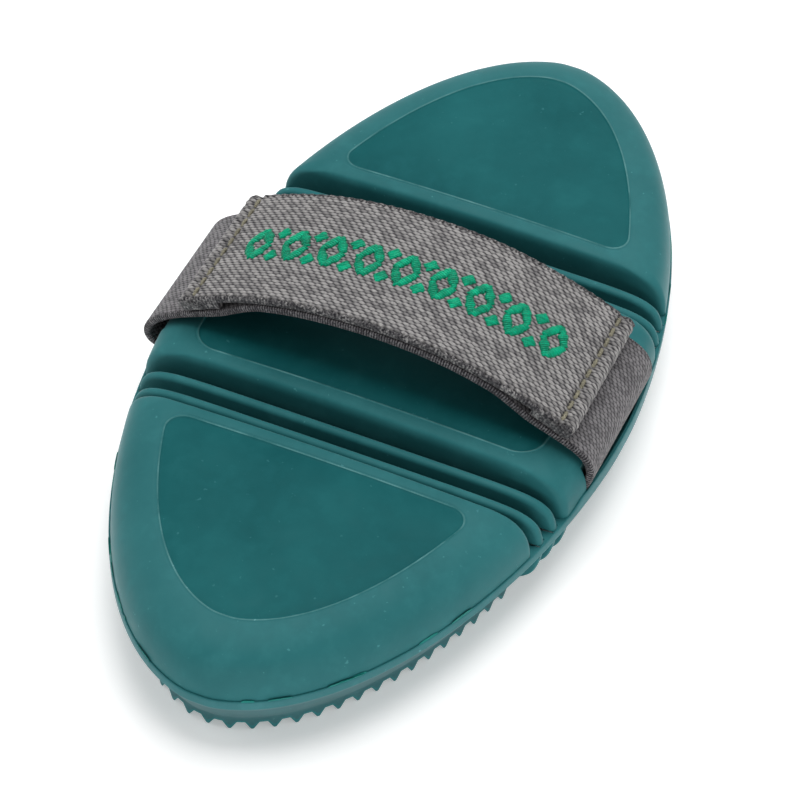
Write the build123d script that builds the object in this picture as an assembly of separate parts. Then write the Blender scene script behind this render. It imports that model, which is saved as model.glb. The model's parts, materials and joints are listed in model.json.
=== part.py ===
from build123d import *
import os
from math import atan2, copysign, cos, degrees, hypot, pi, sin

# Oval rubber curry comb with a webbing hand strap. Millimetres, +Z up, long axis along X.
# The origin is under the middle of the oval, at the level of the tooth tips.

# Oval body: half axes at the widest line of the rim, and the main levels. The oval is a superellipse of this
# power, a little more pointed than an ellipse.
HALF_LENGTH = 87.0
HALF_WIDTH = 44.1
OVAL_POWER = 1.85
OVAL_POINTS = 48
TOOTH_VALLEY = 1.75
BAND_TOP = 3.0
DECK_UNDER = 9.2
RIM_EDGE = 10.3
GROOVE_FLOOR = 11.8
RIM_TOP = 12.3
RIB_TOP = 18.6
PAD_TOP = 22.6

# Each section of the outside is the oval this far inside the rim: (level, inset)
SKIRT_SECTIONS = [(BAND_TOP, 4.9), (DECK_UNDER, 0.5), (RIM_EDGE, 0.0)]
RIM_SECTIONS = [(RIM_EDGE, 0.0), (RIM_TOP, 0.2)]
PAD_SECTIONS = [
    (RIM_TOP, 0.4), (15.0, 0.65), (17.2, 1.25), (19.0, 2.2), (20.2, 3.4), (21.0, 4.8), (21.6, 6.7), (22.0, 9.3),
    (22.25, 14.0), (22.45, 22.0), (PAD_TOP, 34.0),
]
RIB_SECTIONS = [
    (RIM_TOP, 0.5), (14.4, 1.0), (15.9, 1.9), (16.9, 3.3), (17.55, 5.2), (17.95, 7.6), (18.2, 12.0),
    (18.45, 20.0), (RIB_TOP, 34.0),
]
BAND_INSET = 4.9
RIM_INNER_INSET = 1.6

# Serrated ovals under the deck: wall thickness and the inset of each outer face
RING_WALL = 3.2
RING_INSETS = [BAND_INSET, 17.4, 30.0]
TOOTH_PITCH = 3.77
TOOTH_BASE = 2.4
TOOTH_TIP = 0.5
NOTCH_OVERHANG = 0.6

# Flex zones: across each end run three grooves with two ribs between them
CENTRE_PAD_END = 22.9
INNER_RIB = (24.6, 26.6)
OUTER_RIB = (28.8, 30.8)
END_PAD_START = 32.9
PAD_CREST_RADIUS = 1.6
RIB_CREST_RADIUS = 0.85

# Shallow panels in the tops of the pads
PANEL_HALF_LENGTH = 76.4
PANEL_HALF_WIDTH = 35.0
CENTRE_PANEL_END = 19.5
END_PANEL_START = 36.6
PANEL_CORNER = 4.5
PANEL_DEPTH = 0.35

# Webbing: base strap, overlay band sewn on it, and the slots for the base strap
STRAP_WIDTH = 30.0
OVERLAY_WIDTH = 30.8
WEBBING = 1.4
SLOT_WIDTH = 31.0
SLOT_GAP = 0.28
LIP_INSETS = (0.2, 2.6)
LIP_HEIGHT = 0.7
LIP_HALF_LENGTH = 17.5
OVERLAY_LIFT = 3.05
OVERLAY_LEFT = 37.2
OVERLAY_RIGHT = -39.6
HEM_LENGTH = 7.0

# Each hidden tail runs down through its slot and in under the deck: (distance from the middle, z)
TAIL_CURVE = [(41.6, 12.2), (40.6, 10.0), (38.4, 8.4), (34.6, 7.7)]
TAIL_START, TAIL_LEVEL = TAIL_CURVE[-1]
TAIL_END = 28.6
FOLD_LENGTH = 5.4

# Side view of the base strap between its two tails, left to right, as (y, z)
STRAP_ARCH = [
    (41.6, 12.2), (43.9, 13.3), (45.0, 15.1), (44.3, 17.5), (41.6, 20.2), (35.0, 24.2), (27.1, 27.9),
    (18.0, 30.8), (8.1, 32.3), (-5.6, 32.5), (-14.0, 31.5), (-22.5, 29.3), (-31.0, 26.2), (-38.0, 22.8),
    (-42.0, 19.6), (-42.9, 16.4), (-41.6, 12.2),
]

# Thread
STITCH_LENGTH = 2.3
STITCH_PITCH = 2.9
STITCH_RADIUS = 0.32
STITCH_LIFT = 0.13
STITCHES = 10
STITCH_INSET = 3.0
TAIL_STITCHES = 8
MOTIFS = 9
MOTIF_PITCH = 7.2
MOTIF_HALF_HEIGHT = 5.6
MOTIF_HALF_WIDTH = 2.9
MOTIF_STROKE = 1.5
DOT_HALF = 1.5
DOT_OFFSET = 3.2
THREAD_HEIGHT = 0.45
THREAD_SUNK = 0.15

BIG = 200.0


def oval_point(half_length, half_width, turn):
    """A point of an oval, going round from its +X end as turn goes from 0 to 1."""
    c, s = cos(2 * pi * turn), sin(2 * pi * turn)
    x = half_length * copysign(abs(c) ** (2 / OVAL_POWER), c)
    y = half_width * copysign(abs(s) ** (2 / OVAL_POWER), s)
    return x, y


def oval(half_length, half_width):
    points = [oval_point(half_length, half_width, k / OVAL_POINTS) for k in range(OVAL_POINTS)]
    return make_face(Spline(*points, periodic=True))


def section(level, inset):
    return Pos(0, 0, level) * oval(HALF_LENGTH - inset, HALF_WIDTH - inset)


def slab(start, end, low=-1.0, high=40.0):
    """Everything between two planes across the oval, from one level to another."""
    return Pos((start + end) / 2, 0, (low + high) / 2) * Box(end - start, BIG, high - low)


def base_shell():
    """Tooth band, skirt and rim, without the raised pads."""
    band = extrude(section(0, BAND_INSET), BAND_TOP)
    skirt = loft([section(*s) for s in SKIRT_SECTIONS], ruled=True)
    rim = loft([section(*s) for s in RIM_SECTIONS], ruled=True)
    return band + skirt + rim


def dome(sections):
    """A raised cap on the rim that rounds over into a slightly crowned top."""
    return loft([section(*s) for s in sections], ruled=True)


def pockets():
    """The hollows between the serrated ovals."""
    edges = [RING_INSETS[0] + RING_WALL]
    for inset in RING_INSETS[1:]:
        edges += [inset, inset + RING_WALL]
    result = []
    for i in range(0, len(edges), 2):
        face = section(-1, edges[i])
        if i + 1 < len(edges):
            face = face - section(-1, edges[i + 1])
        result.append(extrude(face, DECK_UNDER + 1))
    return result


def oval_stations(inset):
    """Evenly spaced places along a serrated oval, each with the direction across its wall in degrees."""
    steps = 4000
    points = [oval_point(HALF_LENGTH - inset, HALF_WIDTH - inset, i / steps) for i in range(steps + 1)]
    along = [0.0]
    for (x0, y0), (x1, y1) in zip(points, points[1:]):
        along.append(along[-1] + hypot(x1 - x0, y1 - y0))
    count = 4 * round(along[-1] / TOOTH_PITCH / 4)
    stations = []
    index = 0
    for k in range(count):
        while along[index] < (k + 0.5) * along[-1] / count:
            index += 1
        (x0, y0), (x1, y1) = points[index - 1], points[index]
        stations.append((x1, y1, degrees(atan2(x0 - x1, y1 - y0))))
    return stations


def notch(wall):
    """The gap between two teeth, as a prism along X centred on its wall and longer than it."""
    length = wall + 2 * NOTCH_OVERHANG
    half_valley = (TOOTH_PITCH - TOOTH_BASE) / 2
    half_mouth = (TOOTH_PITCH - TOOTH_TIP) / 2
    slope = (half_mouth - half_valley) / TOOTH_VALLEY
    low = half_mouth + slope
    outline = Polyline(
        (0, -low, -1), (0, low, -1), (0, half_valley, TOOTH_VALLEY), (0, -half_valley, TOOTH_VALLEY), close=True
    )
    return Pos(-length / 2, 0, 0) * extrude(make_face(outline), length, dir=(1, 0, 0))


def oval_notches(start, end):
    """The notches of the serrated ovals whose stations lie between two planes across the comb."""
    tool = notch(RING_WALL)
    margin = TOOTH_PITCH / 2
    result = []
    for inset in RING_INSETS:
        for x, y, turn in oval_stations(inset + RING_WALL / 2):
            if start + margin < x < end - margin:
                result.append(Pos(x, y, 0) * Rot(0, 0, turn) * tool)
    return result


def panel_cutter(start, end, body_dome):
    """A shallow panel with rounded corners that follows the crowned top."""
    strip = Pos((start + end) / 2, 0) * Rectangle(end - start, BIG)
    outline = oval(PANEL_HALF_LENGTH, PANEL_HALF_WIDTH) & strip
    corners = [v for v in outline.vertices() if min(abs(v.X - start), abs(v.X - end)) < 0.01]
    outline = fillet(corners, PANEL_CORNER)
    prism = Pos(0, 0, RIM_TOP) * extrude(outline, PAD_TOP)
    return prism - Pos(0, 0, -PANEL_DEPTH) * body_dome


def wall_block(start, end, top, radius):
    """A block right across the comb whose top corners are rounded where it has a cut wall."""
    outline = Plane.XZ * Pos((start + end) / 2, top / 2) * Rectangle(end - start, top)
    cut_walls = [v for v in outline.vertices() if v.Z > top / 2 and abs(v.X) < HALF_LENGTH]
    outline = fillet(cut_walls, radius)
    return Pos(0, BIG / 2, 0) * extrude(outline, BIG, dir=(0, -1, 0))


def ribbon(path, thickness, width):
    """A strip of webbing: a curve in the YZ plane, thickened both ways and extruded across X."""
    steps = 4 * len(path)
    curve = Spline(*[(0, y, z) for y, z in path])
    left = []
    right = []
    for i in range(steps + 1):
        point = curve @ (i / steps)
        tangent = curve % (i / steps)
        ny, nz = -tangent.Z, tangent.Y
        left.append((0, point.Y + ny * thickness / 2, point.Z + nz * thickness / 2))
        right.append((0, point.Y - ny * thickness / 2, point.Z - nz * thickness / 2))
    sides = [Spline(*left), Line(left[-1], right[-1]), Spline(*right[::-1]), Line(right[0], left[0])]
    return Pos(-width / 2, 0, 0) * extrude(make_face(sides), width, dir=(1, 0, 0))


def strap_path():
    """Side view of the base strap between its two hems, left to right."""
    tail = TAIL_CURVE[1:]
    return tail[::-1] + STRAP_ARCH + [(-y, z) for y, z in tail]


def tail_hem(side):
    """The end of a tail: folded back on itself, too thick for the slot."""
    length = TAIL_START - TAIL_END
    middle = side * (TAIL_START + TAIL_END) / 2
    upper = Pos(0, middle, TAIL_LEVEL) * Box(STRAP_WIDTH, length, WEBBING)
    fold_middle = side * (TAIL_END + FOLD_LENGTH / 2)
    lower = Pos(0, fold_middle, TAIL_LEVEL - WEBBING) * Box(STRAP_WIDTH, FOLD_LENGTH, WEBBING)
    bend = Pos(0, side * TAIL_END, TAIL_LEVEL - WEBBING / 2) * Rot(0, 90, 0) * Cylinder(WEBBING, STRAP_WIDTH)
    return upper + lower + bend


def base_strap():
    return ribbon(strap_path(), WEBBING, STRAP_WIDTH) + tail_hem(1) + tail_hem(-1)


def slots():
    """The channels for the strap: its own shape with clearance all round, open to the side above the lips."""
    channel = ribbon(strap_path(), WEBBING + 2 * SLOT_GAP, SLOT_WIDTH)
    strap_side = STRAP_ARCH[0][0]
    mouth = slab(-SLOT_WIDTH / 2, SLOT_WIDTH / 2, RIM_TOP + LIP_HEIGHT) - Box(BIG, 2 * strap_side, BIG)
    return channel + mouth


def slot_lips():
    """Low walls on the rim, outside the slots."""
    outer, inner = [section(RIM_TOP, inset) for inset in LIP_INSETS]
    wall = extrude(outer - inner, LIP_HEIGHT)
    return wall & slab(-LIP_HALF_LENGTH, LIP_HALF_LENGTH)


def centre_pad(shell, cap):
    body = (shell + cap) & wall_block(-CENTRE_PAD_END, CENTRE_PAD_END, PAD_TOP, PAD_CREST_RADIUS)
    body = body + slot_lips()
    body = body - panel_cutter(-CENTRE_PANEL_END, CENTRE_PANEL_END, cap)
    body = body - pockets()
    body = body - oval_notches(-CENTRE_PAD_END, CENTRE_PAD_END)
    return body - slots()


def end_pad(shell, cap):
    body = (shell + cap) & wall_block(END_PAD_START, HALF_LENGTH + 1, PAD_TOP, PAD_CREST_RADIUS)
    body = body - panel_cutter(END_PANEL_START, HALF_LENGTH, cap)
    body = body - pockets()
    return body - oval_notches(END_PAD_START, HALF_LENGTH + TOOTH_PITCH)


def rib(shell, cap, ends):
    """A thin wall right across the comb: crest above the deck and a serrated ridge below it."""
    start, end = ends
    body = (shell + cap) & wall_block(start, end, RIB_TOP, RIB_CREST_RADIUS)
    tool = notch(end - start)
    count = int((HALF_WIDTH - BAND_INSET) / TOOTH_PITCH)
    stations = [TOOTH_PITCH * (k + 0.5) for k in range(-count, count)]
    return body - [Pos((start + end) / 2, y, 0) * tool for y in stations]


def web(shell, ends):
    """The thin floor of a groove, with the stretch of rim beside it. This is what bends."""
    start, end = ends
    strip = shell & slab(start, end, DECK_UNDER, RIM_TOP + 1)
    floor_cut = extrude(section(GROOVE_FLOOR, RIM_INNER_INSET), RIM_TOP)
    return strip - floor_cut


def overlay_path():
    """The arch of the base strap, lifted off it, between the two hems."""
    curve = Spline(*[(0, y, z) for y, z in STRAP_ARCH])
    path = []
    steps = 60
    for i in range(steps + 1):
        point = curve @ (i / steps)
        tangent = curve % (i / steps)
        y = point.Y + tangent.Z * OVERLAY_LIFT
        z = point.Z - tangent.Y * OVERLAY_LIFT
        if OVERLAY_RIGHT <= y <= OVERLAY_LEFT and z > RIB_TOP:
            path.append((y, z))
    return path


def overlay_curve():
    return Spline(*[(0, y, z) for y, z in overlay_path()])


def overlay_point(curve, y):
    """The place of the overlay band at a given y: at its middle, turned to its slope."""
    low, high = 0.0, 1.0
    for _ in range(40):
        middle = (low + high) / 2
        if (curve @ middle).Y > y:
            low = middle
        else:
            high = middle
    point = curve @ low
    tangent = curve % low
    return Pos(0, point.Y, point.Z) * Rot(degrees(atan2(-tangent.Z, -tangent.Y)), 0, 0)


def hem(path):
    """The end of the overlay, folded under: a second layer and a round edge."""
    (y0, z0), (y1, z1) = path[0], path[1]
    run = hypot(y1 - y0, z1 - z0)
    ty, tz = (y1 - y0) / run, (z1 - z0) / run
    under = 1 if ty > 0 else -1
    ny, nz = under * tz, -under * ty
    fold = Pos(0, y0 + ty * HEM_LENGTH / 2 + ny * WEBBING, z0 + tz * HEM_LENGTH / 2 + nz * WEBBING)
    layer = fold * Rot(degrees(atan2(tz, ty)), 0, 0) * Box(OVERLAY_WIDTH, HEM_LENGTH, WEBBING)
    bend = Pos(0, y0 + ny * WEBBING / 2, z0 + nz * WEBBING / 2) * Rot(0, 90, 0)
    return layer + bend * Cylinder(WEBBING, OVERLAY_WIDTH)


def overlay_band():
    path = overlay_path()
    return ribbon(path, WEBBING, OVERLAY_WIDTH) + hem(path) + hem(path[::-1])


def thread_stitch():
    """One stitch along X with round ends."""
    half = STITCH_LENGTH / 2 - STITCH_RADIUS
    bar = Rot(0, 90, 0) * Cylinder(STITCH_RADIUS, 2 * half)
    return bar + Pos(half, 0, 0) * Sphere(STITCH_RADIUS) + Pos(-half, 0, 0) * Sphere(STITCH_RADIUS)


def stitch_row(place, count):
    """A row of stitches along X, centred on a place."""
    shifts = [(k - (count - 1) / 2) * STITCH_PITCH for k in range(count)]
    return [place * Pos(x, 0, 0) * thread_stitch() for x in shifts]


def diamond(half_width, half_height):
    outline = Polyline((half_height, 0), (0, half_width), (-half_height, 0), (0, -half_width), close=True)
    return make_face(outline)


def embroidery(curve):
    """A row of hollow diamonds with pairs of dots between them, in raised thread."""
    ring = diamond(MOTIF_HALF_WIDTH, MOTIF_HALF_HEIGHT)
    hole_scale = 1 - MOTIF_STROKE / MOTIF_HALF_WIDTH
    hole = diamond(MOTIF_HALF_WIDTH * hole_scale, MOTIF_HALF_HEIGHT * hole_scale)
    motif = extrude(ring - hole, THREAD_HEIGHT)
    dot = extrude(diamond(DOT_HALF, DOT_HALF), THREAD_HEIGHT)
    result = []
    for k in range(2 * MOTIFS - 1):
        place = overlay_point(curve, (k - MOTIFS + 1) * MOTIF_PITCH / 2) * Pos(0, 0, WEBBING / 2 - THREAD_SUNK)
        if k % 2 == 0:
            result.append(place * motif)
        else:
            result += [place * Pos(x, 0, 0) * dot for x in (-DOT_OFFSET, DOT_OFFSET)]
    return result


def write(name, shape):
    if isinstance(shape, list):
        shape = Compound(children=shape)
    export_step(shape, f"parts/{name}.step")


def main():
    os.makedirs("parts", exist_ok=True)
    shell = base_shell()
    pad_cap = dome(PAD_SECTIONS)
    rib_cap = dome(RIB_SECTIONS)
    write("centre_pad", centre_pad(shell, pad_cap))
    front = {
        "end_pad": end_pad(shell, pad_cap),
        "inner_rib": rib(shell, rib_cap, INNER_RIB),
        "outer_rib": rib(shell, rib_cap, OUTER_RIB),
        "inner_web": web(shell, (CENTRE_PAD_END, INNER_RIB[0])),
        "middle_web": web(shell, (INNER_RIB[1], OUTER_RIB[0])),
        "outer_web": web(shell, (OUTER_RIB[1], END_PAD_START)),
    }
    for name, shape in front.items():
        write(f"front_{name}", shape)
        write(f"rear_{name}", mirror(shape, about=Plane.YZ))
    write("base_strap", base_strap())
    write("overlay_band", overlay_band())
    curve = overlay_curve()
    on_top = Pos(0, 0, WEBBING / 2 + STITCH_LIFT)
    left_seam = overlay_point(curve, OVERLAY_LEFT - STITCH_INSET)
    right_seam = overlay_point(curve, OVERLAY_RIGHT + STITCH_INSET)
    write("left_stitch_row", stitch_row(left_seam * on_top, STITCHES))
    write("right_stitch_row", stitch_row(right_seam * on_top, STITCHES))
    tail_row = TAIL_END + FOLD_LENGTH / 2
    under_tail = TAIL_LEVEL - 1.5 * WEBBING - STITCH_LIFT
    write("left_tail_stitches", stitch_row(Pos(0, tail_row, under_tail), TAIL_STITCHES))
    write("right_tail_stitches", stitch_row(Pos(0, -tail_row, under_tail), TAIL_STITCHES))
    write("embroidery", embroidery(curve))


main()
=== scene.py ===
import json
import math
from collections import namedtuple
from functools import partialmethod

import bmesh
import bpy
import numpy as np
from mathutils import Matrix, Vector

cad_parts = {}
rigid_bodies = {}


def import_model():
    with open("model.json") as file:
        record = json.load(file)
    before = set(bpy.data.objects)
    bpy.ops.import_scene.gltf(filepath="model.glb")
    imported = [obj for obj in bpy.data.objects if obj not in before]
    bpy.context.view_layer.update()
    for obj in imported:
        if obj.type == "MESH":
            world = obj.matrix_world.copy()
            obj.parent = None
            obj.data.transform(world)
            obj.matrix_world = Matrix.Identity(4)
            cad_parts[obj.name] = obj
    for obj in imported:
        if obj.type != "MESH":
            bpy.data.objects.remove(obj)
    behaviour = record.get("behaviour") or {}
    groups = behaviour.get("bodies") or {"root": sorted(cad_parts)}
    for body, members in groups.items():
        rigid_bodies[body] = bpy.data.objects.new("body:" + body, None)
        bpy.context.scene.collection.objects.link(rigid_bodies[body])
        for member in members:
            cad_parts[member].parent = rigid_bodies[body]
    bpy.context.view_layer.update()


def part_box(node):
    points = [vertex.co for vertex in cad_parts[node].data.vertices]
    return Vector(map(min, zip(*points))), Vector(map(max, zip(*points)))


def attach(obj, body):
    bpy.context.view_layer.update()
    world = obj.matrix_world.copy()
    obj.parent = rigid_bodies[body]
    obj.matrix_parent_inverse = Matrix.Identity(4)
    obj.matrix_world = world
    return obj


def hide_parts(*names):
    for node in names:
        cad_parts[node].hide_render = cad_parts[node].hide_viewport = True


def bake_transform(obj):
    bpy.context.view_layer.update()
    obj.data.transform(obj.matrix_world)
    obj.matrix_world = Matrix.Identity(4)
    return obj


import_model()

# Lengths below are in millimetres; every mesh is scaled to metres as it is made.
MM = 0.001


def node_box(node):
    low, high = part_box(node)
    return np.array(low) / MM, np.array(high) / MM


# Driving sizes, read from the frame
OVAL_POWER = 1.85
(END_START, _, _), (HALF_LENGTH, _, _) = node_box("front_end_pad")
(WEB_START, _, DECK_UNDER), (_, WEB_HALF, RIM_TOP) = node_box("front_inner_web")
HALF_WIDTH = WEB_HALF / (1 - (WEB_START / HALF_LENGTH) ** OVAL_POWER) ** (1 / OVAL_POWER)
CENTRE_END = node_box("centre_pad")[1][0]
INNER_RIB = [corner[0] for corner in node_box("front_inner_rib")]
OUTER_RIB = [corner[0] for corner in node_box("front_outer_rib")]
RIB_TOP = node_box("front_inner_rib")[1][2]
STRAP_HALF = node_box("base_strap")[1][0]
OVERLAY_HALF = node_box("overlay_band")[1][0]
OVERLAY_LEFT = node_box("overlay_band")[1][1]
OVERLAY_RIGHT = node_box("overlay_band")[0][1]

# The rest of the rubber's shape. Walls under the deck reach up to DECK_LAP, a little way into it.
DECK_LAP = DECK_UNDER + 0.4
RIM_EDGE = RIM_TOP - 2.0
GROOVE_FLOOR = RIM_TOP - 0.5
TOOTH_VALLEY = 1.75
BAND_TOP = 3.0
BAND_INSET = 4.3
RING_WALL = 3.2
INNER_RINGS = (17.4, 30.0)
TOOTH_PITCH = 3.77
TOOTH_HALF_BASE = 1.2
TOOTH_HALF_TIP = 0.22
CROWN_DROP = 1.14
CROWN_REACH = 40.0
PANEL_INSET_X = 10.6
PANEL_INSET_Y = 9.1
PANEL_CORNER = 4.5
PANEL_DEPTH = 0.16
OVAL_SOFTNESS = 0.06
END_PAD_CENTRE = 56.0
END_PANEL = END_START + 3.7
CENTRE_PANEL = CENTRE_END - 3.4
LIP_HEIGHT = 0.95
LIP_WALL = 0.6
LIP_HALF = 16.5
LIP_RAMP = 5.0

# Webbing and thread
WEBBING = 1.4
SLOT_CLEARANCE = 0.12
OVERLAY_LIFT = 3.05
FOLD = 7.0
TAIL_LEVEL = 7.7
TAIL_START = 34.6
TAIL_END = 28.6
TAIL_FOLD = 5.4
RISE_RAMP = 11.0
BASE_SWAY = -0.7
SWAY_LOW = 20.0
SWAY_HIGH = 27.0
STRAP_ARCH = [
    (41.6, 12.2), (43.9, 13.3), (45.0, 15.1), (44.3, 17.5), (41.6, 20.2), (35.0, 24.2), (27.1, 27.9),
    (18.0, 30.8), (8.1, 32.3), (-5.6, 32.5), (-14.0, 31.5), (-22.5, 29.3), (-31.0, 26.2), (-38.0, 22.8),
    (-42.0, 19.6), (-42.9, 16.4), (-41.6, 12.2),
]
STITCHES = 10
STITCH_PITCH = 2.9
STITCH_LENGTH = 2.45
STITCH_RADIUS = 0.33
STITCH_SAG = 0.28
STITCH_INSET = 3.0
TAIL_STITCHES = 8
STITCH_SUNK = 0.12
TAIL_STITCH_LIFT = 0.1
EDGE_HOLLOW_PITCH = 1.1
EDGE_HOLLOW_INSET = 0.7
MOTIFS = 9
MOTIF_PITCH = 7.2
MOTIF_HALF_HEIGHT = 5.6
MOTIF_HALF_WIDTH = 2.9
MOTIF_STROKE = 2.0
DOT_HALF = 1.5
DOT_OFFSET = 3.2
SATIN_THREAD = 0.46
SATIN_LEAN = 0.16

rng = np.random.default_rng(11)


# ---- Mesh helpers

def placed(name, data):
    """A new object in the scene."""
    obj = bpy.data.objects.new(name, data)
    bpy.context.scene.collection.objects.link(obj)
    return obj


def new_mesh(name, verts, faces, materials, slots=None):
    mesh = bpy.data.meshes.new(name)
    mesh.from_pydata(np.asarray(verts, float).tolist(), [], faces)
    for material in materials:
        mesh.materials.append(material)
    if slots is not None:
        mesh.polygons.foreach_set("material_index", np.asarray(slots, np.int32))
    return mesh


def mesh_object(name, verts, faces, materials, slots=None, sharp_deg=38.0):
    """An object from points in millimetres, smooth but for edges sharper than sharp_deg."""
    obj = placed(name, new_mesh(name, np.asarray(verts, float) * MM, faces, materials, slots))
    tidy_normals(obj, sharp_deg)
    return obj


def tidy_normals(obj, sharp_deg=38.0):
    """Outward normals, smooth faces, and sharp edges where the surface breaks."""
    work = bmesh.new()
    work.from_mesh(obj.data)
    bmesh.ops.recalc_face_normals(work, faces=work.faces)
    limit = math.radians(sharp_deg)
    for face in work.faces:
        face.smooth = True
    for edge in work.edges:
        edge.smooth = len(edge.link_faces) == 2 and edge.calc_face_angle(0.0) < limit
    work.to_mesh(obj.data)
    work.free()


def grid_faces(rows, cols, wrap_cols=True, wrap_rows=False):
    """Quads of a grid of points stored row by row."""
    faces = []
    for r in range(rows if wrap_rows else rows - 1):
        a = r * cols
        b = (r + 1) % rows * cols
        for c in range(cols if wrap_cols else cols - 1):
            d = (c + 1) % cols
            faces.append((a + c, a + d, b + d, b + c))
    return faces


def tube_faces(rows, cols):
    """Faces of such a grid where each row is a closed ring, with the first and last rows filled."""
    caps = [tuple(range(cols)), tuple(range(rows * cols - 1, (rows - 1) * cols - 1, -1))]
    return grid_faces(rows, cols) + caps


def sweep_faces(rows, cols):
    """Faces of such a grid where each column is a closed ring, with the first and last columns filled."""
    first = tuple(r * cols for r in range(rows))
    caps = [first, tuple(corner + cols - 1 for corner in first[::-1])]
    return grid_faces(rows, cols, wrap_cols=False, wrap_rows=True) + caps


def store(obj, **values):
    """Keeps numbers for each point of a mesh, for its material to read."""
    for name, value in values.items():
        kept = obj.data.attributes.new(name, "FLOAT", "POINT")
        kept.data.foreach_set("value", value.astype(np.float32).ravel())


def joined(objects, name):
    """One object from several: the parts of one moulding that ride on one body."""
    for obj in bpy.context.scene.objects:
        obj.select_set(False)
    for obj in objects:
        obj.select_set(True)
    bpy.context.view_layer.objects.active = objects[0]
    bpy.ops.object.join()
    objects[0].name = name
    objects[0].data.name = name
    return objects[0]


def spline(points, count):
    """Evenly spread points on a natural cubic curve through the given ones, with the distance along it."""
    p = np.asarray(points, float)
    t = np.concatenate([[0], np.cumsum(np.linalg.norm(np.diff(p, axis=0), axis=1))])
    n = len(p)
    h = np.diff(t)
    m = np.eye(n)
    rhs = np.zeros((n, p.shape[1]))
    for i in range(1, n - 1):
        m[i, i - 1:i + 2] = h[i - 1], 2 * (h[i - 1] + h[i]), h[i]
        rhs[i] = 6 * ((p[i + 1] - p[i]) / h[i] - (p[i] - p[i - 1]) / h[i - 1])
    c = np.linalg.solve(m, rhs)

    def at(s):
        i = np.clip(np.searchsorted(t, s, side="right") - 1, 0, n - 2)
        u = (s - t[i])[:, None]
        v = (t[i + 1] - s)[:, None]
        g = h[i][:, None]
        cubic = (c[i] * v ** 3 + c[i + 1] * u ** 3) / (6 * g)
        return cubic + (p[i] / g - c[i] * g / 6) * v + (p[i + 1] / g - c[i + 1] * g / 6) * u

    fine = at(np.linspace(0, t[-1], 20 * count))
    along = np.concatenate([[0], np.cumsum(np.linalg.norm(np.diff(fine, axis=0), axis=1))])
    even = np.linspace(0, along[-1], count)
    columns = [np.interp(even, along, fine[:, k]) for k in range(p.shape[1])]
    return np.stack(columns, axis=1), even


def smooth_step(x, low, high):
    t = np.clip((np.asarray(x, float) - low) / (high - low), 0, 1)
    return t * t * (3 - 2 * t)


# ---- Rubber shapes

def crown(y, share=1.0):
    return CROWN_DROP * (np.asarray(y) / CROWN_REACH) ** 2 * share


def soft_abs(t):
    """The size of t, rounded off near zero."""
    return t * np.tanh(t / OVAL_SOFTNESS)


def oval_point(angle, inset):
    """Points of the oval this far inside the rim, by angle."""
    c, s = np.cos(angle), np.sin(angle)
    r = (np.abs(c) ** OVAL_POWER + np.abs(s) ** OVAL_POWER) ** (-1 / OVAL_POWER)
    r = r / (soft_abs(r * c) ** OVAL_POWER + soft_abs(r * s) ** OVAL_POWER) ** (1 / OVAL_POWER)
    return (HALF_LENGTH - inset) * r * c, (HALF_WIDTH - inset) * r * s


def oval_row(angle, inset, z):
    """Points round the oval, or along a stretch of it, at height z."""
    x, y = oval_point(angle, inset)
    return np.column_stack([x, y, np.broadcast_to(z, x.shape)])


def oval_columns(inset, per_tooth):
    """Angles for the columns of a serrated oval, with the tooth phase (0 at a tip) of each."""
    fine = np.linspace(0, 2 * math.pi, 20001)
    x, y = oval_point(fine, inset)
    along = np.concatenate([[0], np.cumsum(np.hypot(np.diff(x), np.diff(y)))])
    teeth = 4 * round(along[-1] / TOOTH_PITCH / 4)
    phase = np.tile(per_tooth, teeth)
    place = (np.repeat(np.arange(teeth), len(per_tooth)) + phase) * along[-1] / teeth
    return np.interp(place % along[-1], along, fine), phase


TOOTH_SIDE = np.array([0.045, 0.09, 0.16, 0.24, 0.30, 0.33, 0.4])
TOOTH_PHASES = np.concatenate([[-0.5], -TOOTH_SIDE[::-1], [0.0], TOOTH_SIDE])


def tooth_edge(phase):
    """Height of the serrated edge at a phase of its pitch, rounded at tips and valleys."""
    d = np.abs(phase) * TOOTH_PITCH
    slope = TOOTH_VALLEY / (TOOTH_HALF_BASE - TOOTH_HALF_TIP)
    line = (d - TOOTH_HALF_TIP) * slope
    soft = 0.12
    low = np.where(line < soft, np.maximum(line + soft, 0) ** 2 / (4 * soft), line)
    high = TOOTH_VALLEY - low
    return TOOTH_VALLEY - np.where(high < soft, np.maximum(high + soft, 0) ** 2 / (4 * soft), high)


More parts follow.
